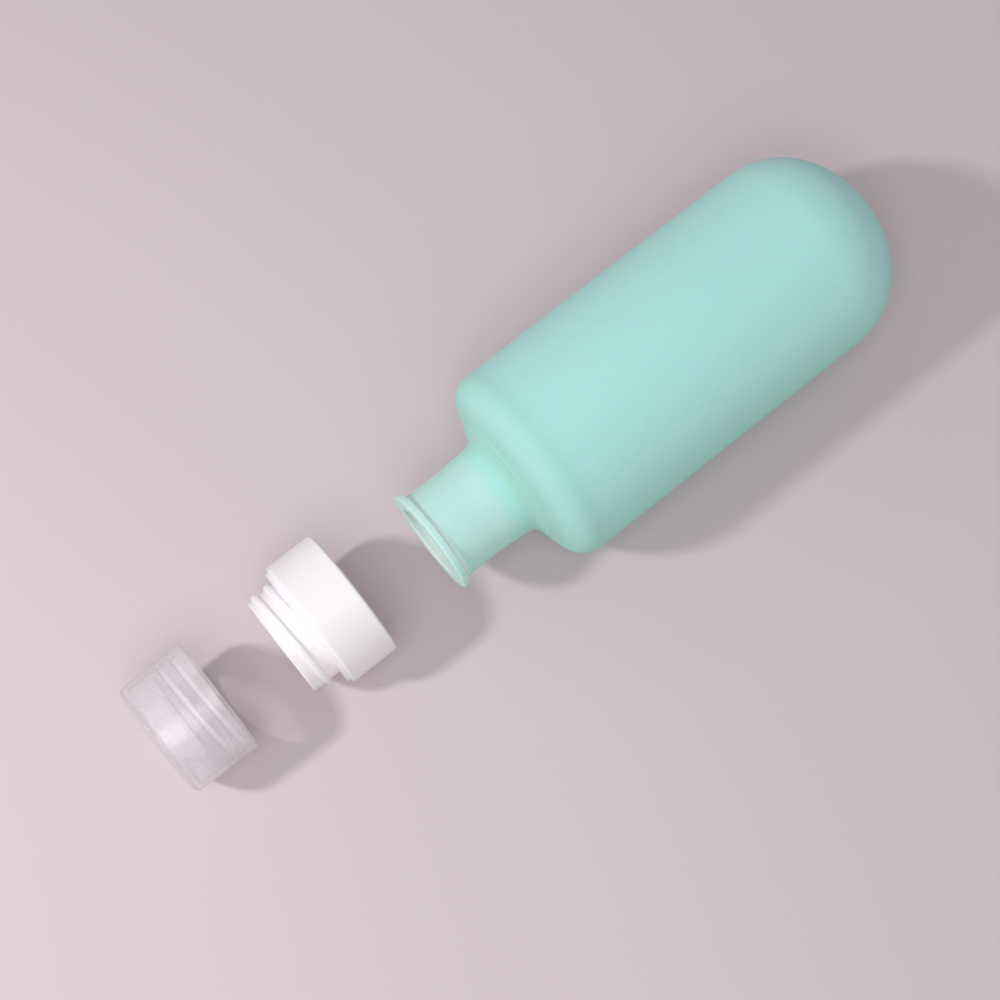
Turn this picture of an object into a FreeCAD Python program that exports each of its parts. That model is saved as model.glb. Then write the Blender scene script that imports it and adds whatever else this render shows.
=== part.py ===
import FreeCAD, Part
import os
import Sketcher

# Travel squeeze bottle, taken apart as it lies on a table: the soft bottle on its side, then the
# threaded collar, then the screw cap with its sealing plug, all with their axes along X.
# Z is up and the table is Z = 0. Lengths are in millimetres and angles in degrees.

doc = FreeCAD.newDocument("travel_bottle")
sheet = doc.addObject("Spreadsheet::Sheet", "Sizes")

DRIVING_SIZES = (
    # soft bottle
    ("bottle_length", 117.2),
    ("body_diameter", 45.0),
    ("body_wall", 2.0),
    ("dome_rise", 10.8),
    ("dome_corner_round", 17.8),
    ("shoulder_slope", 70.0),
    ("shoulder_round", 3.9),
    ("neck_diameter", 20.6),
    ("neck_wall", 2.05),
    ("neck_flare", 0.6),
    ("neck_root_round", 3.2),
    ("lip_thickness", 1.7),
    ("lip_round", 0.4),
    ("rest_flat_depth", 0.2),
    # threaded collar
    ("band_diameter", 29.7),
    ("band_length", 11.4),
    ("band_round", 0.6),
    ("skirt_wall", 1.65),
    ("skirt_chamfer", 1.0),
    ("shelf_thickness", 1.8),
    ("spigot_length", 7.4),
    ("spigot_wall", 0.9),
    ("spigot_round", 0.3),
    ("stop_ring_thickness", 0.8),
    ("stop_ring_step", 0.9),
    ("neck_fit", 0.15),
    ("lip_seat_gap", 0.05),
    ("shoulder_seat_gap", 0.15),
    # thread of collar and cap
    ("thread_pitch", 3.175),
    ("thread_depth", 0.8),
    ("thread_base_width", 1.7),
    ("thread_crest_width", 0.7),
    ("thread_sink", 0.2),
    ("thread_start", 1.0),
    ("thread_clock", 180.0),
    ("thread_clearance", 0.5),
    ("thread_flank_gap", 0.35),
    ("collar_thread_turns", 1.5),
    ("cap_thread_turns", 1.9),
    # screw cap
    ("cap_length", 15.4),
    ("cap_wall", 0.9),
    ("cap_taper", 0.4),
    ("cap_end_wall", 1.4),
    ("cap_end_round", 0.9),
    ("cap_stop_gap", 0.3),
    ("boss_height", 1.2),
    ("boss_wall", 1.2),
    ("lip_clearance", 0.2),
    # sealing plug
    ("plug_fit", 0.3),
    ("plug_wall", 1.3),
    ("plug_flange_thickness", 1.2),
    ("plug_flange_inset", 0.2),
    ("plug_nose_length", 3.0),
    ("plug_nose_round", 0.5),
    ("plug_boss_fit", 0.2),
    ("plug_end_gap", 0.1),
    ("plug_lip_gap", 0.05),
    # places on the table
    ("collar_gap", 18.0),
    ("collar_offset", 3.2),
    ("cap_offset", 3.7),
    ("cap_turns", 7.0),
)

for row, (alias, amount) in enumerate(DRIVING_SIZES, start=1):
    sheet.set(f"A{row}", alias)
    sheet.set(f"B{row}", str(amount))
    sheet.setAlias(f"B{row}", alias)
doc.recompute()

# Measures that several pieces share, as expressions in the driving sizes.
BODY_R = "(Sizes.body_diameter / 2)"
CAVITY_R = f"({BODY_R} - Sizes.body_wall)"
CROWN_R = f"(({BODY_R} ^ 2 + Sizes.dome_rise ^ 2) / (2 * Sizes.dome_rise))"
CROWN_INNER_R = f"({CROWN_R} - Sizes.body_wall)"
NECK_R = "(Sizes.neck_diameter / 2)"
NECK_ROOT_R = f"({NECK_R} + Sizes.neck_flare)"
MOUTH_R = f"({NECK_R} - Sizes.neck_wall)"
BAND_R = "(Sizes.band_diameter / 2)"
SKIRT_R = f"({BAND_R} - Sizes.skirt_wall)"
BORE_R = f"({NECK_R} + Sizes.neck_fit)"
THREAD_ROOT_R = f"({BORE_R} + Sizes.spigot_wall)"
THREAD_CREST_R = f"({THREAD_ROOT_R} + Sizes.thread_depth)"
CAP_CREST_R = f"({THREAD_ROOT_R} + Sizes.thread_clearance)"
CAP_RIM_INNER_R = f"({THREAD_CREST_R} + Sizes.thread_clearance)"
CAP_RIM_R = f"({CAP_RIM_INNER_R} + Sizes.cap_wall)"
LIP_R = f"({CAP_CREST_R} - Sizes.lip_clearance)"
COLLAR_LENGTH = "(Sizes.spigot_length + Sizes.band_length)"

# Seated on the neck, the collar's rim lies under the lip and its skirt ends just off the shoulder.
COLLAR_SEAT = "(Sizes.lip_thickness + Sizes.lip_seat_gap)"
SHOULDER_SEAT = f"({COLLAR_SEAT} + {COLLAR_LENGTH} + Sizes.shoulder_seat_gap)"
SHOULDER_SEAT_R = f"({SKIRT_R} + Sizes.skirt_chamfer)"
SLOPE_RUN = "(1 / tan(Sizes.shoulder_slope * 1deg))"
SLOPE_WALL = "(Sizes.body_wall / sin(Sizes.shoulder_slope * 1deg))"

# Screwed down, the cap's rim stands just off the collar's stop ring, and the plug lies on the lip.
CAP_REACH = "(Sizes.spigot_length - Sizes.stop_ring_thickness - Sizes.cap_stop_gap)"
PLUG_STEM = (
    f"(Sizes.cap_length - Sizes.cap_end_wall - {CAP_REACH} - {COLLAR_SEAT}"
    " - Sizes.plug_flange_thickness - Sizes.plug_lip_gap - Sizes.plug_end_gap)"
)
PLUG_NOSE_R = f"({MOUTH_R} - Sizes.plug_fit)"
PLUG_STEM_R = f"({PLUG_NOSE_R} + Sizes.plug_wall)"
PLUG_STEM_INNER_R = f"({PLUG_STEM_R} - Sizes.plug_wall)"
BOSS_R = f"({PLUG_STEM_INNER_R} - Sizes.plug_boss_fit)"

# Places along X on the table, from the closed end of the cap to the mouth of the bottle.
CAP_TRAVEL = "(Sizes.cap_turns * Sizes.thread_pitch)"
RIM_FROM_CAP_END = f"(Sizes.cap_length + {CAP_TRAVEL} - {CAP_REACH})"
MOUTH_FROM_CAP_END = f"({RIM_FROM_CAP_END} + {COLLAR_LENGTH} + Sizes.collar_gap)"
CAP_END_X = f"(-({MOUTH_FROM_CAP_END} + Sizes.bottle_length) / 2)"

SAME_PLACE = 1e-5


def size(expression):
    """The number that an expression in the driving sizes comes to."""
    found = sheet.evalExpression(expression)
    return float(getattr(found, "Value", found))


def new_piece(name):
    """A body with a label of its own."""
    body = doc.addObject("PartDesign::Body", name)
    body.Label = name
    return body


def sketch_on(body, name, role):
    """An empty sketch on one of the body's own origin planes."""
    plane = next(p for p in body.Origin.OriginFeatures if p.Role == role)
    sketch = body.newObject("Sketcher::SketchObject", name)
    sketch.AttachmentSupport = [(plane, "")]
    sketch.MapMode = "FlatFace"
    return sketch


def arc_between(start, end, radius):
    """The arc of a radius that turns clockwise from start to end, less than half a circle long."""
    chord = end - start
    middle = (start + end) / 2
    inward = FreeCAD.Vector(chord.y, -chord.x, 0).normalize()
    reach = (radius**2 - (chord.Length / 2) ** 2) ** 0.5
    bulge = middle + inward * (reach - radius)
    return Part.Arc(start, bulge, end)


def closed_outline(body, name, corners, arc_radii=None):
    """A closed outline on the body's XZ plane, each corner two expressions: along the axis, out from it.

    arc_radii gives, for a side that is an arc and not a line, the radius by the number of its first corner.
    """
    arc_radii = arc_radii or {}
    sketch = sketch_on(body, name, "XZ_Plane")
    places = [FreeCAD.Vector(size(along), size(out), 0) for along, out in corners]
    first_point = {}
    last_point = {}
    for number, start in enumerate(places):
        end = places[(number + 1) % len(places)]
        if number in arc_radii:
            # a clockwise side is kept as a counter-clockwise arc, so its own start is the side's end
            sketch.addGeometry(arc_between(start, end, size(arc_radii[number])))
            first_point[number], last_point[number] = 2, 1
        else:
            sketch.addGeometry(Part.LineSegment(start, end))
            first_point[number], last_point[number] = 1, 2
    for number in range(len(places)):
        after = (number + 1) % len(places)
        sketch.addConstraint(
            Sketcher.Constraint("Coincident", number, last_point[number], after, first_point[after])
        )
    for number, (along, out) in enumerate(corners):
        for kind, expression, place in (
            ("DistanceX", along, places[number].x),
            ("DistanceY", out, places[number].y),
        ):
            index = sketch.addConstraint(
                Sketcher.Constraint(kind, -1, 1, number, first_point[number], place)
            )
            sketch.setExpression(f"Constraints[{index}]", expression)
    for number, radius in arc_radii.items():
        index = sketch.addConstraint(Sketcher.Constraint("Radius", number, size(radius)))
        sketch.setExpression(f"Constraints[{index}]", radius)
    return sketch


def turned(body, kind, name, sketch):
    """A full turn of an outline about the piece's axis: an added Revolution or a cut Groove."""
    feature = body.newObject(f"PartDesign::{kind}", name)
    feature.Profile = sketch
    feature.ReferenceAxis = (sketch, ["H_Axis"])
    feature.Angle = 360
    doc.recompute()
    return feature


def rounded(body, name, base, rings, radius):
    """Round the circular edges of base that lie at the given (along, out) places."""
    edges = []
    for along, out in rings:
        place, reach = size(along), size(out)
        for number, edge in enumerate(base.Shape.Edges, start=1):
            if edge.Degenerated or not isinstance(edge.Curve, Part.Circle):
                continue
            ring = edge.Curve
            if abs(ring.Radius - reach) < SAME_PLACE and abs(ring.Center.x - place) < SAME_PLACE:
                edges.append(f"Edge{number}")
    if len(edges) != len(rings):
        raise ValueError(f"{name}: found {len(edges)} of {len(rings)} edges to round")
    feature = body.newObject("PartDesign::Fillet", name)
    feature.Base = (base, edges)
    feature.setExpression("Radius", radius)
    doc.recompute()
    return feature


def threaded(body, name, start, root, crest, sink, turns):
    """A right-hand thread of one tooth, wound along the piece's axis from the tooth's first middle."""
    half_base = "Sizes.thread_base_width / 2"
    half_crest = "Sizes.thread_crest_width / 2"
    sketch = closed_outline(
        body,
        f"{name}_tooth",
        [
            (f"{start} - {half_base}", f"{root} {sink} Sizes.thread_sink"),
            (f"{start} - {half_base}", root),
            (f"{start} - {half_crest}", crest),
            (f"{start} + {half_crest}", crest),
            (f"{start} + {half_base}", root),
            (f"{start} + {half_base}", f"{root} {sink} Sizes.thread_sink"),
        ],
    )
    feature = body.newObject("PartDesign::AdditiveHelix", name)
    feature.Profile = sketch
    feature.ReferenceAxis = (sketch, ["H_Axis"])
    feature.Mode = "pitch-turns-angle"
    feature.setExpression("Pitch", "Sizes.thread_pitch")
    feature.setExpression("Turns", turns)
    feature.LeftHanded = False
    feature.Reversed = False
    doc.recompute()
    return feature


def laid(body, along, across, up, clock=None):
    """Lay a piece on the table with its axis along X, turned about that axis by clock."""
    body.Placement.Rotation = FreeCAD.Rotation(FreeCAD.Vector(1, 0, 0), size(clock) if clock else 0)
    body.setExpression("Placement.Base.x", along)
    body.setExpression("Placement.Base.y", across)
    body.setExpression("Placement.Base.z", up)
    if clock:
        body.setExpression("Placement.Rotation.Angle", clock)
    doc.recompute()


def soft_bottle():
    """The soft hollow body, from the mouth at its own X = 0 to its dome, with a small flat to lie on."""
    body = new_piece("silicone_bottle")
    neck_straight = f"({COLLAR_SEAT} + Sizes.spigot_length + Sizes.shelf_thickness)"
    neck_root = f"({SHOULDER_SEAT} - ({SHOULDER_SEAT_R} - {NECK_ROOT_R}) * {SLOPE_RUN})"
    shoulder = f"({SHOULDER_SEAT} + ({BODY_R} - {SHOULDER_SEAT_R}) * {SLOPE_RUN})"
    dome_edge = "(Sizes.bottle_length - Sizes.dome_rise)"
    outside = closed_outline(
        body,
        "outside",
        [
            ("0", "0"),
            ("0", LIP_R),
            ("Sizes.lip_thickness", LIP_R),
            ("Sizes.lip_thickness", NECK_R),
            (neck_straight, NECK_R),
            (neck_root, NECK_ROOT_R),
            (shoulder, BODY_R),
            (dome_edge, BODY_R),
            ("Sizes.bottle_length", "0"),
        ],
        {7: CROWN_R},
    )
    made = turned(body, "Revolution", "skin", outside)
    made = rounded(body, "dome_corner", made, [(dome_edge, BODY_R)], "Sizes.dome_corner_round")
    made = rounded(body, "shoulder_corner", made, [(shoulder, BODY_R)], "Sizes.shoulder_round")
    made = rounded(body, "neck_root", made, [(neck_root, NECK_ROOT_R)], "Sizes.neck_root_round")
    inner_slope = f"({SHOULDER_SEAT} + {SLOPE_WALL})"
    inner_root = f"({inner_slope} - ({SHOULDER_SEAT_R} - {MOUTH_R}) * {SLOPE_RUN})"
    inner_shoulder = f"({inner_slope} + ({CAVITY_R} - {SHOULDER_SEAT_R}) * {SLOPE_RUN})"
    crown_centre = f"(Sizes.bottle_length - {CROWN_R})"
    inner_edge = f"({crown_centre} + sqrt({CROWN_INNER_R} ^ 2 - {CAVITY_R} ^ 2))"
    inside = closed_outline(
        body,
        "inside",
        [
            ("0", "0"),
            ("0", MOUTH_R),
            (inner_root, MOUTH_R),
            (inner_shoulder, CAVITY_R),
            (inner_edge, CAVITY_R),
            ("Sizes.bottle_length - Sizes.body_wall", "0"),
        ],
        {4: CROWN_INNER_R},
    )
    made = turned(body, "Groove", "cavity", inside)
    dome_round = "Sizes.dome_corner_round - Sizes.body_wall"
    made = rounded(body, "cavity_dome", made, [(inner_edge, CAVITY_R)], dome_round)
    shoulder_round = "Sizes.shoulder_round - Sizes.body_wall"
    made = rounded(body, "cavity_shoulder", made, [(inner_shoulder, CAVITY_R)], shoulder_round)
    neck_round = "Sizes.neck_root_round + Sizes.body_wall"
    made = rounded(body, "cavity_neck", made, [(inner_root, MOUTH_R)], neck_round)
    lip_rings = [("0", LIP_R), ("Sizes.lip_thickness", LIP_R), ("0", MOUTH_R)]
    rounded(body, "lip_edges", made, lip_rings, "Sizes.lip_round")
    flat = body.newObject("PartDesign::SubtractiveBox", "rest_flat")
    flat.setExpression("Length", "Sizes.bottle_length")
    flat.setExpression("Width", "Sizes.body_diameter")
    flat.setExpression("Height", BODY_R)
    flat.setExpression("Placement.Base.y", f"-{BODY_R}")
    flat.setExpression("Placement.Base.z", f"Sizes.rest_flat_depth - 2 * {BODY_R}")
    laid(body, f"{CAP_END_X} + {MOUTH_FROM_CAP_END}", "0", f"{BODY_R} - Sizes.rest_flat_depth")
    return body


def collar():
    """The hard collar, from the spigot's rim at its own X = 0 to the end of its skirt."""
    body = new_piece("threaded_collar")
    stop = "(Sizes.spigot_length - Sizes.stop_ring_thickness)"
    shelf = "(Sizes.spigot_length + Sizes.shelf_thickness)"
    stop_r = f"({BAND_R} - Sizes.stop_ring_step)"
    section = closed_outline(
        body,
        "section",
        [
            ("0", BORE_R),
            ("0", THREAD_ROOT_R),
            (stop, THREAD_ROOT_R),
            (stop, stop_r),
            ("Sizes.spigot_length", stop_r),
            ("Sizes.spigot_length", BAND_R),
            (COLLAR_LENGTH, BAND_R),
            (COLLAR_LENGTH, f"{SKIRT_R} + Sizes.skirt_chamfer"),
            (f"{COLLAR_LENGTH} - Sizes.skirt_chamfer", SKIRT_R),
            (shelf, SKIRT_R),
            (shelf, BORE_R),
        ],
    )
    made = turned(body, "Revolution", "ring", section)
    band_rings = [("Sizes.spigot_length", BAND_R), (COLLAR_LENGTH, BAND_R)]
    made = rounded(body, "band_edges", made, band_rings, "Sizes.band_round")
    rounded(body, "rim_edge", made, [("0", THREAD_ROOT_R)], "Sizes.spigot_round")
    turns = "Sizes.collar_thread_turns"
    threaded(body, "thread", "Sizes.thread_start", THREAD_ROOT_R, THREAD_CREST_R, "-", turns)
    laid(body, f"{CAP_END_X} + {RIM_FROM_CAP_END}", "Sizes.collar_offset", BAND_R, "Sizes.thread_clock")
    return body


def cap():
    """The clear cap, from its closed end at its own X = 0 to its rim, with a boss that holds the plug."""
    body = new_piece("screw_cap")
    boss_top = "(Sizes.cap_end_wall + Sizes.boss_height)"
    boss_inner = f"({BOSS_R} - Sizes.boss_wall)"
    section = closed_outline(
        body,
        "section",
        [
            ("0", "0"),
            ("0", f"{CAP_RIM_R} - Sizes.cap_taper"),
            ("Sizes.cap_length", CAP_RIM_R),
            ("Sizes.cap_length", CAP_RIM_INNER_R),
            ("Sizes.cap_end_wall", f"{CAP_RIM_INNER_R} - Sizes.cap_taper"),
            ("Sizes.cap_end_wall", BOSS_R),
            (boss_top, BOSS_R),
            (boss_top, boss_inner),
            ("Sizes.cap_end_wall", boss_inner),
            ("Sizes.cap_end_wall", "0"),
        ],
    )
    made = turned(body, "Revolution", "shell", section)
    rounded(body, "end_edge", made, [("0", f"{CAP_RIM_R} - Sizes.cap_taper")], "Sizes.cap_end_round")
    # screwed down, each tooth of the cap lies behind a tooth of the collar, a flank gap away
    engaged = f"({THREAD_CREST_R} - {CAP_CREST_R})"
    lean = "((Sizes.thread_base_width - Sizes.thread_crest_width) / 2 / Sizes.thread_depth)"
    behind = f"(Sizes.thread_crest_width + {lean} * {engaged} + Sizes.thread_flank_gap)"
    first_tooth = f"(Sizes.cap_length - {CAP_REACH} + Sizes.thread_start + {behind} - Sizes.thread_pitch)"
    threaded(body, "thread", first_tooth, CAP_RIM_INNER_R, CAP_CREST_R, "+", "Sizes.cap_thread_turns")
    laid(body, CAP_END_X, "Sizes.cap_offset", CAP_RIM_R, "Sizes.thread_clock")
    return body


def plug():
    """The sealing plug: a stem round the cap's boss, a flange for the lip and a nose for the mouth."""
    body = new_piece("seal_plug")
    flange_end = f"({PLUG_STEM} + Sizes.plug_flange_thickness)"
    nose_end = f"({flange_end} + Sizes.plug_nose_length)"
    nose_inner = f"({PLUG_NOSE_R} - Sizes.plug_wall)"
    flange_r = f"({LIP_R} - Sizes.plug_flange_inset)"
    section = closed_outline(
        body,
        "section",
        [
            (PLUG_STEM, "0"),
            (PLUG_STEM, PLUG_STEM_INNER_R),
            ("0", PLUG_STEM_INNER_R),
            ("0", PLUG_STEM_R),
            (PLUG_STEM, PLUG_STEM_R),
            (PLUG_STEM, flange_r),
            (flange_end, flange_r),
            (flange_end, PLUG_NOSE_R),
            (nose_end, PLUG_NOSE_R),
            (nose_end, nose_inner),
            (flange_end, nose_inner),
            (flange_end, "0"),
        ],
    )
    made = turned(body, "Revolution", "plug_body", section)
    rounded(body, "nose_edge", made, [(nose_end, PLUG_NOSE_R)], "Sizes.plug_nose_round")
    stem_end_x = f"{CAP_END_X} + Sizes.cap_end_wall + Sizes.plug_end_gap"
    laid(body, stem_end_x, "Sizes.cap_offset", CAP_RIM_R)
    return body


pieces = [soft_bottle(), collar(), cap(), plug()]
doc.recompute()

for item in doc.Objects:
    if "Invalid" in item.State or "Error" in item.State:
        raise RuntimeError(f"{item.Label} did not build: {item.State}")
for piece in pieces:
    if piece.Shape.isNull() or not piece.Shape.isValid() or len(piece.Shape.Solids) != 1:
        raise RuntimeError(f"{piece.Label} is not one sound solid")

os.makedirs("parts", exist_ok=True)
for piece in pieces:
    piece.Shape.exportStep(f"parts/{piece.Label}.step")
    print(f"{piece.Label}: {piece.Shape.Volume:.1f} mm3")
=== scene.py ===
# %% [markdown]
# # A travel squeeze bottle, taken apart on a table
# The real object is a soft silicone bottle, a hard white collar that slips over its neck, and a clear cap
# with a milky sealing plug inside. They lie in line on a pale table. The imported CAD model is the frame: it
# says where each piece lies and what it moves with. This lesson turns each piece again as a finer mesh, with
# the small rounds that a mould leaves, and gives it a finish of its own.

# %% Load the frame
import math

import bmesh
import bpy
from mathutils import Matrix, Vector


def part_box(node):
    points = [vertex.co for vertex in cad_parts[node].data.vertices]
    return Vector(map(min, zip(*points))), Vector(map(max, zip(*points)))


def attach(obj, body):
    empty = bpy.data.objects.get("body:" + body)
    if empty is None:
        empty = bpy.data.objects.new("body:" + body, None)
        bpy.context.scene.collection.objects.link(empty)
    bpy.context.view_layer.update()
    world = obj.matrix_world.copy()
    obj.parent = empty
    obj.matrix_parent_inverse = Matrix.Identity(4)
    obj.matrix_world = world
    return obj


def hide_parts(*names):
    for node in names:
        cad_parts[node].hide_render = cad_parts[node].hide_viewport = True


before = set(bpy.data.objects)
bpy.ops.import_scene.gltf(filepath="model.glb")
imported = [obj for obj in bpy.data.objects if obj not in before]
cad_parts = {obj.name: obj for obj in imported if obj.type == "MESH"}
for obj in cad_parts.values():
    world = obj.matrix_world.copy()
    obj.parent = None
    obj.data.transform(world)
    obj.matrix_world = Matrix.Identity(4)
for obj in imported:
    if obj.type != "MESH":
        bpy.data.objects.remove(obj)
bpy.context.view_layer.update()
MM = 0.001

# %% [markdown]
# ## Camera
# The photograph looks down steeply from about forty centimetres above the table. A camera could be moved by
# hand until the view fits. Here the eye and the aim were worked out from the outlines of the three turned
# pieces, because a round rim seen at a slant says how it is tilted, and both are then simply written down.

# %% Camera
EYE = Vector((-64.78, -73.39, 397.92)) * MM
AIM = Vector((-6.40, -0.68, 15.0)) * MM
lens = bpy.data.cameras.new("table_view")
lens.sensor_width = 36.0
lens.lens = 67.38
lens.clip_start = 0.01
camera = bpy.data.objects.new("table_view", lens)
camera.location = EYE
camera.rotation_euler = (AIM - EYE).to_track_quat("-Z", "Y").to_euler()
bpy.context.scene.collection.objects.link(camera)
bpy.context.scene.camera = camera
bpy.context.scene.view_settings.view_transform = "Standard"
print("camera to aim in mm:", round((AIM - EYE).length / MM, 1))

# %% [markdown]
# ## Finishes
# A finish is a small tree of shader nodes. Wiring nodes by hand hides the sums in them, so one class wraps a
# socket and lets sums be written as Python. One method adds every other node: its settings go first, because
# they decide which sockets it has, and then the values or links of its sockets.

# %% A wire
class Wire:
    """One socket of a finish. Sums on wires add Math nodes to the same finish."""

    def __init__(self, finish, socket):
        self.finish = finish
        self.socket = socket

    def sum(self, operation, first, second):
        """A Math node on two wires or numbers."""
        return self.finish.node("ShaderNodeMath", {"operation": operation}, {0: first, 1: second})

    def __add__(self, other):
        return self.sum("ADD", self, other)

    __radd__ = __add__

    def __sub__(self, other):
        return self.sum("SUBTRACT", self, other)

    def __rsub__(self, other):
        return self.sum("SUBTRACT", other, self)

    def __mul__(self, other):
        return self.sum("MULTIPLY", self, other)

    __rmul__ = __mul__

    def __pow__(self, other):
        return self.sum("POWER", self, other)

    def __rpow__(self, other):
        return self.sum("POWER", other, self)

    def __lt__(self, other):
        return self.sum("LESS_THAN", self, other)

    def __gt__(self, other):
        return self.sum("GREATER_THAN", self, other)


print("a wire takes + - * ** < and >")


# %% A finish
class Finish:
    """A node tree of its own, for a material or for the world."""

    def __init__(self, owner):
        owner.use_nodes = True
        self.owner = owner
        self.tree = owner.node_tree
        self.tree.nodes.clear()

    def node(self, kind, settings=None, sockets=None, output=0):
        """Add a node, set it up, feed its sockets, and give back one of its outputs as a wire."""
        made = self.tree.nodes.new(kind)
        for name, value in (settings or {}).items():
            setattr(made, name, value)
        for name, value in (sockets or {}).items():
            if isinstance(value, Wire):
                self.tree.links.new(value.socket, made.inputs[name])
            else:
                made.inputs[name].default_value = value
        return Wire(self, made.outputs[output]) if made.outputs else None

    def mix(self, share, first, second):
        """A colour between two colours."""
        return self.node("ShaderNodeMix", {"data_type": "RGBA"}, {0: share, 6: first, 7: second}, 2)

    def noise(self, place, scale, detail=2.0, roughness=0.5):
        """Soft random grey, about 0.5 on the whole, at so many lumps in a metre."""
        values = {"Vector": place, "Scale": scale, "Detail": detail, "Roughness": roughness}
        return self.node("ShaderNodeTexNoise", {}, values)

    def steps(self, share, low, high):
        """0 at low and 1 at high, whichever is the larger, with a smooth rise between."""
        values = {"Value": share, "From Min": low, "From Max": high}
        return self.node("ShaderNodeMapRange", {"interpolation_type": "SMOOTHSTEP"}, values)

    def from_axis(self, place, axis):
        """How far a place is from the line along X through a point of the axis."""
        off = self.node("ShaderNodeVectorMath", {"operation": "SUBTRACT"}, {0: place, 1: axis})
        across = self.node("ShaderNodeVectorMath", {"operation": "MULTIPLY"}, {0: off, 1: (0, 1, 1)})
        return self.node("ShaderNodeVectorMath", {"operation": "LENGTH"}, {0: across}, "Value")

    def bump(self, height, depth, normal=None):
        """A surface that rises by depth metres where height is 1."""
        values = {"Height": height, "Distance": depth, "Strength": 1.0}
        if normal:
            values["Normal"] = normal
        return self.node("ShaderNodeBump", {}, values)

    def surface(self, **sockets):
        """The main shader, with its sockets named in words, wired to the output."""
        named = {}
        for words, value in sockets.items():
            named[words.replace("_", " ").title().replace("Ior", "IOR")] = value
        shader = self.node("ShaderNodeBsdfPrincipled", {}, named)
        self.node("ShaderNodeOutputMaterial", {}, {"Surface": shader})


def new_finish(name):
    """A finish for a new material."""
    return Finish(bpy.data.materials.new(name))


print("a finish has node, mix, noise, steps, from_axis, bump and surface")


# %% Colours
def from_screen(red, green, blue):
    """The light that a screen colour of 0 to 255 stands for."""
    return (*[((x / 255 + 0.055) / 1.055) ** 2.4 for x in (red, green, blue)], 1.0)


print("mint on screen (172, 221, 219) is light", [round(x, 3) for x in from_screen(172, 221, 219)])

# %% [markdown]
# ## Table and light
# The table is a smooth pale mauve-grey sheet with a faint sheen. A small lamp stands near it on the left and
# throws shadows with clear edges to the right. A broad soft lamp overhead and the pale room fill them, and
# make the round pieces brightest along their tops. A plain sheet with a slow change of tone is enough, since
# the near lamp makes the falloff. Far from the pieces the sheet fades out, and the room behind it shows the
# table's own tone, so that a low view has no hard edge in it.

# %% Table
TABLE_TONE = from_screen(213, 198, 203)
TABLE_HALF, FADE_FROM, FADE_TO = 6.0, 0.28, 0.70
table_finish = new_finish("pale_table")
on_table = table_finish.node("ShaderNodeTexCoord", output="Object")
drift = table_finish.noise(on_table, scale=3.0)
grain = table_finish.noise(on_table, scale=900.0)
far = table_finish.node("ShaderNodeVectorMath", {"operation": "LENGTH"}, {0: on_table}, "Value")
table_finish.surface(
    base_color=table_finish.mix(drift, TABLE_TONE, from_screen(210, 195, 200)),
    roughness=0.5 + 0.1 * grain,
    alpha=table_finish.steps(far, FADE_TO, FADE_FROM),
)
table_mesh = bmesh.new()
bmesh.ops.create_grid(table_mesh, x_segments=2, y_segments=2, size=TABLE_HALF)
table_data = bpy.data.meshes.new("table")
table_mesh.to_mesh(table_data)
table_mesh.free()
table_data.materials.append(table_finish.owner)
table = bpy.data.objects.new("table", table_data)
bpy.context.scene.collection.objects.link(table)
print("table:", len(table_data.polygons), "faces")

# %% Light
ROOM_SHARE, NEAR_SHARE, OVERHEAD_SHARE = 0.42, 0.28, 0.30
ROOM_TONE = (1.0, 0.97, 0.985, 1.0)
room = Finish(bpy.data.worlds.new("room"))
shown = room.node("ShaderNodeLightPath", output="Is Camera Ray")
for kind in ("Is Glossy Ray", "Is Transmission Ray"):
    shown = shown.sum("MAXIMUM", shown, room.node("ShaderNodeLightPath", output=kind))
lighting = room.node("ShaderNodeBackground", {}, {"Color": ROOM_TONE, "Strength": ROOM_SHARE})
backdrop = room.node("ShaderNodeBackground", {}, {"Color": TABLE_TONE, "Strength": 1.0})
chosen = room.node("ShaderNodeMixShader", {}, {0: shown, 1: lighting, 2: backdrop})
room.node("ShaderNodeOutputWorld", {}, {"Surface": chosen})
bpy.context.scene.world = room.owner


def hang_lamp(name, place, width, share):
    """A round lamp that faces the aim and gives the table there such a share of its light."""
    way = AIM - Vector(place)
    bulb = bpy.data.lights.new(name, "AREA")
    bulb.shape = "DISK"
    bulb.size = width
    # P watts at a distance d send back P / (pi d)^2 from a white sheet that faces the lamp
    bulb.energy = share * (math.pi * way.length) ** 2 / abs(way.normalized().z)
    lamp = bpy.data.objects.new(name, bulb)
    lamp.location = place
    lamp.rotation_euler = way.to_track_quat("-Z", "Y").to_euler()
    bpy.context.scene.collection.objects.link(lamp)
    print(name, round(bulb.energy, 2), "W,", round(way.length, 3), "m away")


hang_lamp("near_lamp", place=(-0.354, 0.160, 0.416), width=0.055, share=NEAR_SHARE)
hang_lamp("overhead_lamp", place=(-0.22, -0.21, 0.67), width=0.50, share=OVERHEAD_SHARE)

# %% [markdown]
# ## Turning a piece
# All four pieces are round about an axis along X, so each is half a section spun once about that axis. The
# section could be typed in as points, but a real drawing has corners and the rounds on them. So a pen draws
# it: a straight run extrudes the pen's vertex, and a round spins that vertex about the round's own centre.
# Each straight run gets a holding vertex near both ends, which keeps the shading flat between the rounds.

# %% The pen
HOLD = 0.25
ARC_STEP = 0.2


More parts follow.
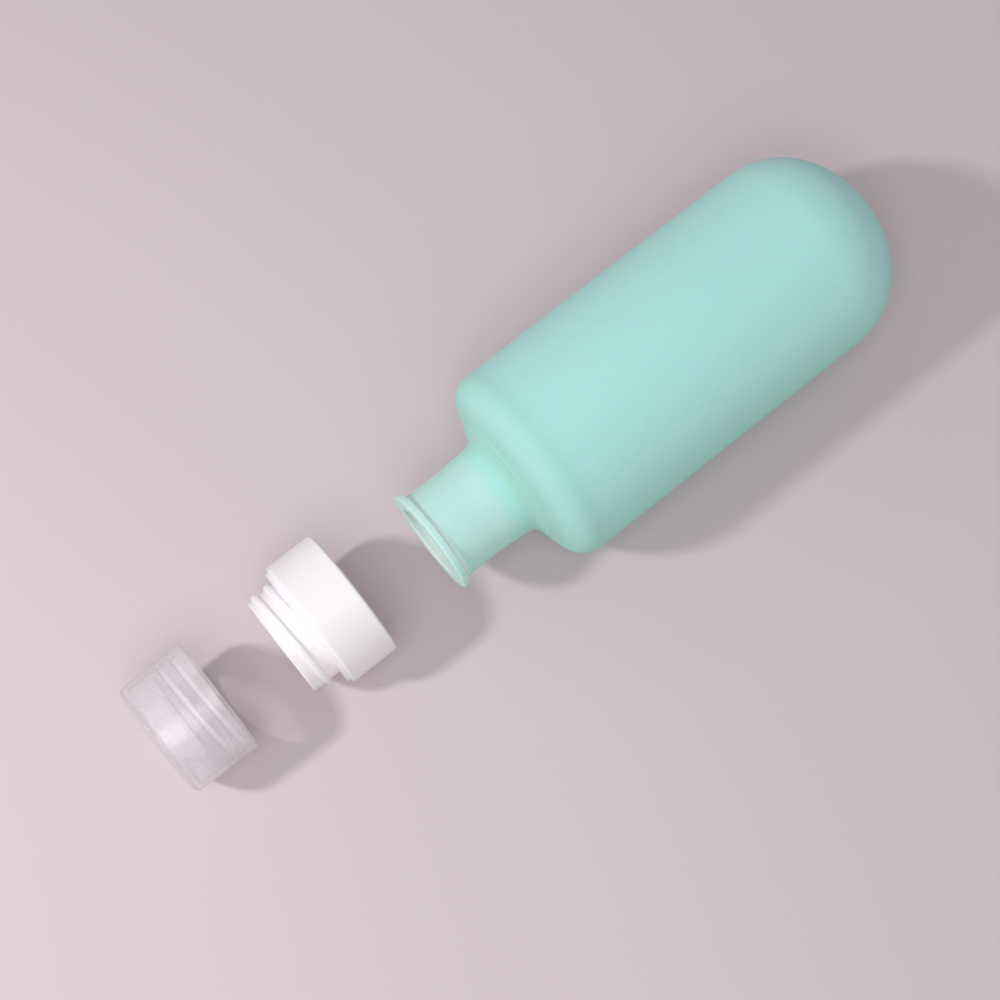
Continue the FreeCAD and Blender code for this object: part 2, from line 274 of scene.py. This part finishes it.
class Pen:
    """Draws half a section in mm: along the axis, and out from it."""

    def __init__(self, along, out):
        self.mesh = bmesh.new()
        self.tip = self.mesh.verts.new(Vector((along, 0, out)) * MM)

    @property
    def here(self):
        return Vector((self.tip.co.x, self.tip.co.z)) / MM

    def dot(self, place):
        self.tip = bmesh.ops.extrude_vert_indiv(self.mesh, verts=[self.tip])["verts"][0]
        self.tip.co = Vector((place.x, 0, place.y)) * MM

    def line(self, along, out, parts=1):
        """A straight run in equal parts, with a holding vertex near each end of a long one."""
        start, end = self.here, Vector((along, out))
        length = (end - start).length
        shares = {step / parts for step in range(1, parts + 1)}
        if length > 4 * HOLD:
            shares |= {HOLD / length, 1 - HOLD / length}
        for share in sorted(shares):
            self.dot(start.lerp(end, share))

    def arc(self, along, out, degrees, steps):
        """A swing about a centre: from out towards along counts as positive."""
        swing = {"cent": Vector((along, 0, out)) * MM, "axis": (0, 1, 0), "angle": math.radians(degrees)}
        made = bmesh.ops.spin(self.mesh, geom=[self.tip], steps=steps, **swing)
        self.tip = made["geom_last"][0]

    def run(self, *corners):
        """Straight runs through corners of (along, out, round), each corner but the last rounded off."""
        for number, (along, out, radius) in enumerate(corners):
            corner = Vector((along, out))
            if not radius or number == len(corners) - 1:
                self.line(along, out)
                continue
            coming = (corner - self.here).normalized()
            going = (Vector(corners[number + 1][:2]) - corner).normalized()
            turn = coming.angle_signed(going)
            start = corner - coming * radius * math.tan(abs(turn) / 2)
            centre = start + Vector((coming.y, -coming.x)) * math.copysign(radius, turn)
            self.line(*start)
            self.arc(*centre, math.degrees(turn), max(3, math.ceil(abs(turn) / ARC_STEP)))


print("runs longer than", 4 * HOLD, "mm get holding vertices")


# %% The lathe
SPIN_STEPS = 192
SAME_PLACE = 1e-7
SHARP = math.radians(40)


def turned(pen):
    """Spin the drawn section once about the axis, close its poles and turn its faces outwards."""
    mesh = pen.mesh
    drawn = mesh.verts[:] + mesh.edges[:]
    full = {"cent": (0, 0, 0), "axis": (1, 0, 0), "angle": math.tau, "steps": SPIN_STEPS, "use_merge": True}
    bmesh.ops.spin(mesh, geom=drawn, **full)
    bmesh.ops.remove_doubles(mesh, verts=mesh.verts, dist=SAME_PLACE)
    bmesh.ops.recalc_face_normals(mesh, faces=mesh.faces)
    return mesh


def set_down(name, mesh, place, node, body):
    """Put a finished mesh where its CAD node lies, as the piece that stands for that node."""
    bmesh.ops.translate(mesh, verts=mesh.verts, vec=place)
    # the table presses flat what would lie below it
    for vertex in mesh.verts:
        vertex.co.z = max(vertex.co.z, 0.0)
    open_edges = sum(1 for edge in mesh.edges if len(edge.link_faces) != 2)
    data = bpy.data.meshes.new(name)
    mesh.to_mesh(data)
    mesh.free()
    data.shade_smooth()
    data.set_sharp_from_angle(angle=SHARP)
    piece = bpy.data.objects.new(name, data)
    bpy.context.scene.collection.objects.link(piece)
    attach(piece, body)
    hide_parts(node)
    print(name, "faces:", len(data.polygons), "open edges:", open_edges)
    return piece


print("one turn in", SPIN_STEPS, "steps of", 360 / SPIN_STEPS, "degrees")

# %% [markdown]
# ## The soft bottle
# The bottle is one silicone moulding: a flat-topped lip, a short neck, a steep shoulder, a straight side and
# a domed end. Its wall is 2 mm thick, and the inside is drawn too, because the open mouth shows it. The pen
# starts at the dome inside, comes out through the mouth and goes back to the dome outside. The skirt of the
# collar has pressed a thin ring into the shoulder. The bottle lies on a small flat, since it is soft.

# %% Sizes of the bottle
BODY_R, BODY_WALL, BOTTLE_LENGTH = 22.5, 2.0, 117.2
MOUTH_R, NECK_R, NECK_ROOT_R, LIP_R, LIP_THICK = 8.25, 10.3, 10.9, 11.65, 1.7
LIP_ROUND, LIP_BACK_ROUND, NECK_ROUND, SHOULDER_ROUND = 0.4, 0.5, 3.2, 5.2
INNER_NECK_ROUND, INNER_SHOULDER_ROUND = 5.2, 1.9
NECK_STRAIGHT, SIDE_START, INNER_SIDE_START = 10.95, 32, 30
SEAT_ALONG, SEAT_R = 20.7, 14.2
SLOPE = math.radians(70)
MARK_START_R, MARK_CREST_R, MARK_GROOVE_R, MARK_END_R = 13.3, 13.75, 14.15, 14.75
MARK_DEPTH, MARK_CREST_ROUND, MARK_GROOVE_ROUND = 0.13, 0.15, 0.2
DOME_RISE, DOME_ROUND = 10.8, 17.8
CROWN_R = (BODY_R**2 + DOME_RISE**2) / (2 * DOME_RISE)
crown_along = BOTTLE_LENGTH - CROWN_R
corner_out = BODY_R - DOME_ROUND
corner_along = crown_along + math.sqrt((CROWN_R - DOME_ROUND) ** 2 - corner_out**2)
crown_swing = math.degrees(math.asin(corner_out / (CROWN_R - DOME_ROUND)))
print("crown radius", round(CROWN_R, 2), "mm, to", round(crown_swing, 1), "degrees off the axis")


def on_slope(out, wall=0.0, lift=0.0):
    """The place on the shoulder's slope at a radius, a wall deeper inside or lifted off it."""
    along = SEAT_ALONG + (out - SEAT_R) / math.tan(SLOPE) + wall / math.sin(SLOPE)
    return along - lift * math.sin(SLOPE), out + lift * math.cos(SLOPE)


# %% Draw and turn the bottle
CROWN_STEPS, CORNER_STEPS, SIDE_PARTS = 10, 14, 8
pen = Pen(BOTTLE_LENGTH - BODY_WALL, 0)
pen.arc(crown_along, 0, -crown_swing, CROWN_STEPS)
pen.arc(corner_along, corner_out, crown_swing - 90, CORNER_STEPS)
cavity_r = BODY_R - BODY_WALL
pen.line(INNER_SIDE_START, cavity_r, SIDE_PARTS)
pen.run(
    (*on_slope(cavity_r, BODY_WALL), INNER_SHOULDER_ROUND),
    (*on_slope(MOUTH_R, BODY_WALL), INNER_NECK_ROUND),
    (0, MOUTH_R, LIP_ROUND),
    (0, LIP_R, LIP_ROUND),
    (LIP_THICK, LIP_R, LIP_BACK_ROUND),
    (LIP_THICK, NECK_R, LIP_BACK_ROUND),
    (NECK_STRAIGHT, NECK_R, 0),
    (*on_slope(NECK_ROOT_R), NECK_ROUND),
    (*on_slope(MARK_START_R), 0),
    (*on_slope(MARK_CREST_R, lift=MARK_DEPTH), MARK_CREST_ROUND),
    (*on_slope(MARK_GROOVE_R, lift=-MARK_DEPTH), MARK_GROOVE_ROUND),
    (*on_slope(MARK_END_R), 0),
    (*on_slope(BODY_R), SHOULDER_ROUND),
    (SIDE_START, BODY_R, 0),
)
pen.line(corner_along, BODY_R, SIDE_PARTS)
pen.arc(corner_along, corner_out, 90 - crown_swing, CORNER_STEPS)
pen.arc(crown_along, 0, crown_swing, CROWN_STEPS)
bottle_low, bottle_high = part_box("silicone_bottle")
bottle_place = Vector((bottle_low.x, 0, bottle_high.z - BODY_R * MM))
bottle = set_down("soft_bottle", turned(pen), bottle_place, "silicone_bottle", "bottle")

# %% [markdown]
# ## The thread
# Collar and cap share one coarse thread of a single tooth: it winds once round while it climbs its pitch. A
# helix could be swept and joined on, but that leaves cut edges in the wall. Here the wall has fine rows, and
# its vertices move out, or in on the cap, by the height of the tooth at their place, so it stays one skin.
# The tooth fades in and out at its ends, as on a moulded thread.

# %% The tooth
PITCH, TOOTH_DEPTH, TOOTH_BASE, TOOTH_CREST = 3.175, 0.8, 1.7, 0.7
TOOTH_FADE = 0.05


def tooth_height(place, first, turns):
    """How high the tooth stands at a place about the axis: 0 between the teeth and 1 on a crest."""
    # parts of a turn, counted from straight below the axis
    swung = (math.atan2(place.z, place.y) / math.tau + 0.25) % 1.0
    height = 0.0
    for wound in (swung, swung + 1):
        if wound < turns:
            off = abs(place.x / MM - first - PITCH * wound)
            flank = min(1.0, (TOOTH_BASE / 2 - off) / ((TOOTH_BASE - TOOTH_CREST) / 2))
            height = max(height, flank * min(1.0, wound / TOOTH_FADE, (turns - wound) / TOOTH_FADE))
    return height


print("tooth:", TOOTH_DEPTH, "mm deep,", PITCH, "mm to a turn")

# %% [markdown]
# ## The white collar
# The collar is a hard ring. Its wide band hides the root of the neck, a narrower stop ring lies at the foot
# of the spigot, and the short spigot carries the thread. It could be joined from plain rings, but then each
# joint would need a round of its own. One section has them all: the edges of such a moulding are slightly
# round, so that they catch a line of light.

# %% Draw and turn the collar
BORE_R, ROOT_R, STOP_R, BAND_R, SKIRT_R = 10.45, 11.35, 13.95, 14.85, 13.2
BORE_START, STOP, BAND, SHELF, COLLAR_END, SKIRT_CONE = 4, 6.6, 7.4, 9.2, 18.8, 1
FINE_EDGE, RIM_EDGE, STOP_EDGE, BAND_EDGE, SEAT_EDGE, SKIRT_EDGE = 0.2, 0.3, 0.12, 0.6, 0.1, 0.4
THREAD_INSET, COLLAR_FIRST_TOOTH, COLLAR_TURNS = 0.4, 1.0, 1.5
COLLAR_ROWS, CLOSE = 58, 0.001
pen = Pen(BORE_START, BORE_R)
pen.run((0, BORE_R, FINE_EDGE), (0, ROOT_R, RIM_EDGE), (THREAD_INSET, ROOT_R, 0))
pen.line(STOP - THREAD_INSET, ROOT_R, COLLAR_ROWS)
pen.run(
    (STOP, ROOT_R, FINE_EDGE),
    (STOP, STOP_R, FINE_EDGE),
    (BAND, STOP_R, STOP_EDGE),
    (BAND, BAND_R, BAND_EDGE),
    (COLLAR_END, BAND_R, BAND_EDGE),
    (COLLAR_END, SEAT_R, SEAT_EDGE),
    (COLLAR_END - SKIRT_CONE, SKIRT_R, SKIRT_EDGE),
    (SHELF, SKIRT_R, SKIRT_EDGE),
    (SHELF, BORE_R, FINE_EDGE),
    (BORE_START, BORE_R, 0),
)
collar_mesh = turned(pen)
for vertex in collar_mesh.verts:
    radius = math.hypot(vertex.co.y, vertex.co.z) / MM
    if abs(radius - ROOT_R) < CLOSE and vertex.co.x / MM < STOP - THREAD_INSET + CLOSE:
        lifted = ROOT_R + TOOTH_DEPTH * tooth_height(vertex.co, COLLAR_FIRST_TOOTH, COLLAR_TURNS)
        vertex.co.y *= lifted / radius
        vertex.co.z *= lifted / radius
collar_low, collar_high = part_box("threaded_collar")
collar_place = Vector((collar_low.x, (collar_low.y + collar_high.y) / 2, BAND_R * MM))
collar = set_down("white_collar", collar_mesh, collar_place, "threaded_collar", "collar")

# %% [markdown]
# ## The clear cap
# The cap is a thin clear cup with a slight draft, the same thread inside, and a low ring boss in its closed
# end that holds the plug. A Solidify modifier could give one skin its wall, but not the boss and the thread.
# So both skins are drawn, and each of them takes a little of the light.

# %% Draw and turn the cap
CAP_LENGTH, CAP_END_R, CAP_RIM_R, CAP_WALL, CAP_END_WALL = 15.4, 13.15, 13.55, 0.9, 1.4
BOSS_R, BOSS_INNER_R, BOSS_TOP, BOSS_EDGE = 7.75, 6.55, 2.6, 0.15
CAP_EDGE, CAP_INNER_EDGE = 0.9, 0.4
CAP_FIRST_TOOTH, CAP_TURNS = 8.1625, 1.9
ROWS_START, ROWS_END, CAP_ROWS = 7.0, CAP_LENGTH - 0.3, 82


def cap_inside(along):
    """The cap's inner radius, which the draft widens towards the rim."""
    draft = (CAP_RIM_R - CAP_END_R) / (CAP_LENGTH - CAP_END_WALL)
    return CAP_RIM_R - CAP_WALL - draft * (CAP_LENGTH - along)


pen = Pen(0, 0)
pen.run(
    (0, CAP_END_R, CAP_EDGE),
    (CAP_LENGTH, CAP_RIM_R, RIM_EDGE),
    (CAP_LENGTH, cap_inside(CAP_LENGTH), FINE_EDGE),
    (ROWS_END, cap_inside(ROWS_END), 0),
)
pen.line(ROWS_START, cap_inside(ROWS_START), CAP_ROWS)
pen.run(
    (CAP_END_WALL, cap_inside(CAP_END_WALL), CAP_INNER_EDGE),
    (CAP_END_WALL, BOSS_R, BOSS_EDGE),
    (BOSS_TOP, BOSS_R, BOSS_EDGE),
    (BOSS_TOP, BOSS_INNER_R, BOSS_EDGE),
    (CAP_END_WALL, BOSS_INNER_R, BOSS_EDGE),
    (CAP_END_WALL, 0, 0),
)
cap_mesh = turned(pen)
for vertex in cap_mesh.verts:
    along, radius = vertex.co.x / MM, math.hypot(vertex.co.y, vertex.co.z) / MM
    if ROWS_START - CLOSE < along < ROWS_END + CLOSE and abs(radius - cap_inside(along)) < CLOSE:
        height = tooth_height(vertex.co, CAP_FIRST_TOOTH, CAP_TURNS)
        lifted = min(radius, CAP_RIM_R - CAP_WALL - TOOTH_DEPTH * height)
        vertex.co.y *= lifted / radius
        vertex.co.z *= lifted / radius
cap_low, cap_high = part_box("screw_cap")
cap_place = Vector((cap_low.x, (cap_low.y + cap_high.y) / 2, CAP_RIM_R * MM))
cap = set_down("clear_cap", cap_mesh, cap_place, "screw_cap", "cap")

# %% [markdown]
# ## The milky plug
# The plug sits on the cap's boss and closes the mouth: a stem, a flange that meets the lip, and a nose that
# enters the mouth. Through the clear wall it shows only as a pale patch, so a plain disc might do. But the
# open side of the cap shows it whole, so it is turned from a section of its own, as the rest is.

# %% Draw and turn the plug
STEM, FLANGE_END, NOSE_END, NOSE_TIP_ROUND = 4.6, 5.8, 8.8, 0.5
STEM_R, STEM_INNER_R, FLANGE_R, NOSE_R, NOSE_INNER_R = 9.25, 7.95, 11.45, 7.95, 6.65
pen = Pen(STEM, 0)
pen.run(
    (STEM, STEM_INNER_R, FINE_EDGE),
    (0, STEM_INNER_R, BOSS_EDGE),
    (0, STEM_R, BOSS_EDGE),
    (STEM, STEM_R, RIM_EDGE),
    (STEM, FLANGE_R, RIM_EDGE),
    (FLANGE_END, FLANGE_R, RIM_EDGE),
    (FLANGE_END, NOSE_R, FINE_EDGE),
    (NOSE_END, NOSE_R, NOSE_TIP_ROUND),
    (NOSE_END, NOSE_INNER_R, FINE_EDGE),
    (FLANGE_END, NOSE_INNER_R, RIM_EDGE),
    (FLANGE_END, 0, 0),
)
plug_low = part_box("seal_plug")[0]
plug_place = Vector((plug_low.x, cap_place.y, cap_place.z))
plug = set_down("milky_plug", turned(pen), plug_place, "seal_plug", "plug")

# %% [markdown]
# ## Mint silicone
# Silicone is soft to the light as well: light goes into the wall, takes on its colour and comes out again
# beside. So half of the shader is subsurface, and green has the longest way in it. The skin is matt with a
# very fine grain, and its tone drifts slightly where it has been held. The lip and the neck are paler, and
# painted light lifts the inside of the mouth and the shade under the lip; painted shade deepens the slope of
# the shoulder and the lower half. Colours could be painted on the vertices, but masks along the bottle, up
# it and out from its axis need no paint and no map.

# %% Where the silicone is paler, and where light and shade are painted on it
silicone = new_finish("mint_silicone")
on_bottle = silicone.node("ShaderNodeTexCoord", output="Object")
along_bottle = silicone.node("ShaderNodeSeparateXYZ", {}, {"Vector": on_bottle}, "X")
up_bottle = silicone.node("ShaderNodeSeparateXYZ", {}, {"Vector": on_bottle}, "Z")


def from_mouth(none, full):
    """A mask that grows from 0 to 1 between two distances from the mouth in mm."""
    return silicone.steps(along_bottle, bottle_low.x + none * MM, bottle_low.x + full * MM)


# the neck and the lip are given a paler tone
pale_neck = from_mouth(19.0, 13.0)
pale_lip = from_mouth(1.8, 1.4)
# painted light: a near-white tone fills the shade under the lip
under_lip_painted_light = from_mouth(1.2, 1.7) * from_mouth(3.0, 2.1)
# painted shade: the shoulder's slope and its corner near the neck are given a darker green
slope = from_mouth(22.3, 21.3)
corner = from_mouth(32.0, 25.0)
shoulder_painted_shade = from_mouth(17.0, 19.5) * 0.5 * (slope + corner)
# painted light: inside the mouth the tone is paler still, to lift the shade there
inside = silicone.steps(silicone.from_axis(on_bottle, bottle_place), 9.0 * MM, 8.5 * MM)
# painted shade: the lower half of the bottle is given a deeper, greener tone
lower_half_painted_shade = silicone.steps(up_bottle, 38.0 * MM, 20.0 * MM)
# a paler neck and lip, with the painted light inside the mouth
pale = (0.30 + 0.40 * inside) * pale_neck + 0.12 * pale_lip
print("mask nodes:", len(silicone.tree.nodes))

# %% Mint silicone
held = silicone.noise(on_bottle, scale=30.0, detail=3.0)
skin = silicone.noise(on_bottle, scale=1600.0, detail=3.0, roughness=0.6)
tone = silicone.mix(held, from_screen(178, 230, 227), from_screen(182, 233, 230))
# painted shade on the lower half
tone = silicone.mix(lower_half_painted_shade, tone, from_screen(162, 230, 211))
# painted shade on the shoulder
tone = silicone.mix(shoulder_painted_shade, tone, from_screen(166, 216, 203))
tone = silicone.mix(pale, tone, from_screen(226, 235, 232))
silicone.surface(
    # painted light under the lip
    base_color=silicone.mix(0.8 * under_lip_painted_light, tone, from_screen(240, 251, 249)),
    roughness=0.60 + 0.12 * skin + 0.06 * held,
    subsurface_weight=0.5,
    subsurface_radius=(0.3, 1.0, 0.4),
    subsurface_scale=2.0 * MM,
    specular_ior_level=0.2,
    normal=silicone.bump(skin, depth=0.03 * MM),
)
bottle.data.materials.append(silicone.owner)
print("silicone nodes:", len(silicone.tree.nodes))

# %% [markdown]
# ## White collar plastic
# The collar is satin white plastic, smooth from the mould with faint flow clouds. One plain white would look
# like paper, so the clouds change its tone and gloss a little, and some light goes in below the skin, which
# softens the edges of the shade.

# %% White collar plastic
white = new_finish("white_plastic")
on_collar = white.node("ShaderNodeTexCoord", output="Object")
flow = white.noise(on_collar, scale=90.0, detail=3.0)
satin = white.noise(on_collar, scale=2500.0)
white.surface(
    base_color=white.mix(flow, from_screen(246, 242, 245), from_screen(250, 247, 250)),
    roughness=0.34 + 0.12 * flow,
    subsurface_weight=0.25,
    subsurface_radius=(1.0, 0.9, 0.9),
    subsurface_scale=1.0 * MM,
    normal=white.bump(satin, depth=0.008 * MM),
)
collar.data.materials.append(white.owner)
print("white plastic nodes:", len(white.tree.nodes))

# %% [markdown]
# ## Clear and milky plastic
# The cap is clear plastic with a trace of haze. It could refract, as glass does, but a wall this thin hardly
# bends the light. So light passes straight through a pale haze of low alpha, and a gloss lies over it, which
# grows where a wall is seen at a slant. The thread's ridge gets more white haze, a painted highlight for the
# glints along the thread. The first wall that a lamp's light meets stops most of it, which gives the cap its
# shadow. A ray can cross a dozen skins of cap and plug, more than the usual limit of eight, so that limit
# goes up. The plug is the same kind of plastic left milky.

# %% Haze, waves and ridges of the clear plastic
clear = new_finish("clear_plastic")
on_cap = clear.node("ShaderNodeTexCoord", output="Object")
haze = clear.noise(on_cap, scale=120.0, detail=3.0)
wavy = clear.noise(on_cap, scale=240.0)
scuff = clear.noise(on_cap, scale=1400.0)
CREST_R = CAP_RIM_R - CAP_WALL - TOOTH_DEPTH
cap_radius = clear.from_axis(on_cap, cap_place)
ridge_outside = clear.steps(cap_radius, (CREST_R + 0.5) * MM, (CREST_R + 0.1) * MM)
ridge_inside = clear.steps(cap_radius, (CREST_R - 0.25) * MM, (CREST_R - 0.1) * MM)
# painted highlight: more white haze on the thread's crest stands in for the glints along it
ridge_painted_highlight = ridge_outside * ridge_inside
rubbed = clear.bump(scuff, depth=0.0015 * MM, normal=clear.bump(wavy, depth=0.25 * MM))
slant = clear.node("ShaderNodeLayerWeight", {}, {"Blend": 0.5}, "Facing")
print("thread crest", round(CREST_R, 2), "mm from the cap's axis")

# %% Clear plastic
shading = clear.node("ShaderNodeLightPath", output="Is Shadow Ray")
passed = clear.node("ShaderNodeLightPath", output="Transparent Depth")
first_wall = passed < 0.5
# the ridge term is the painted highlight on the thread
seen = 0.12 + 0.05 * haze + 0.05 * slant + 0.30 * ridge_painted_highlight
stopped = 0.03 + 0.92 * first_wall
body = clear.node("ShaderNodeBsdfPrincipled", {}, {
    "Base Color": clear.mix(haze, from_screen(243, 236, 242), from_screen(250, 245, 250)),
    "Roughness": 0.5,
    "Specular IOR Level": 0.0,
    "Alpha": seen + shading * (stopped - seen),
})
gloss = clear.node("ShaderNodeBsdfGlossy", {}, {"Roughness": 0.17, "Normal": rubbed})
mirrored = 0.03 + 0.60 * slant**5.0
cap_skin = clear.node("ShaderNodeMixShader", {}, {0: mirrored, 1: body, 2: gloss})
clear.node("ShaderNodeOutputMaterial", {}, {"Surface": cap_skin})
bpy.context.scene.cycles.transparent_max_bounces = 24
cap.data.materials.append(clear.owner)
print("clear plastic nodes:", len(clear.tree.nodes))

# %% Milky plastic
milky = new_finish("milky_plastic")
on_plug = milky.node("ShaderNodeTexCoord", output="Object")
cloud = milky.noise(on_plug, scale=160.0, detail=3.0)
milky.surface(
    base_color=milky.mix(cloud, from_screen(234, 227, 232), from_screen(242, 236, 241)),
    roughness=0.40 + 0.15 * cloud,
    alpha=0.22 + 0.12 * cloud,
)
plug.data.materials.append(milky.owner)
print("milky plastic nodes:", len(milky.tree.nodes))
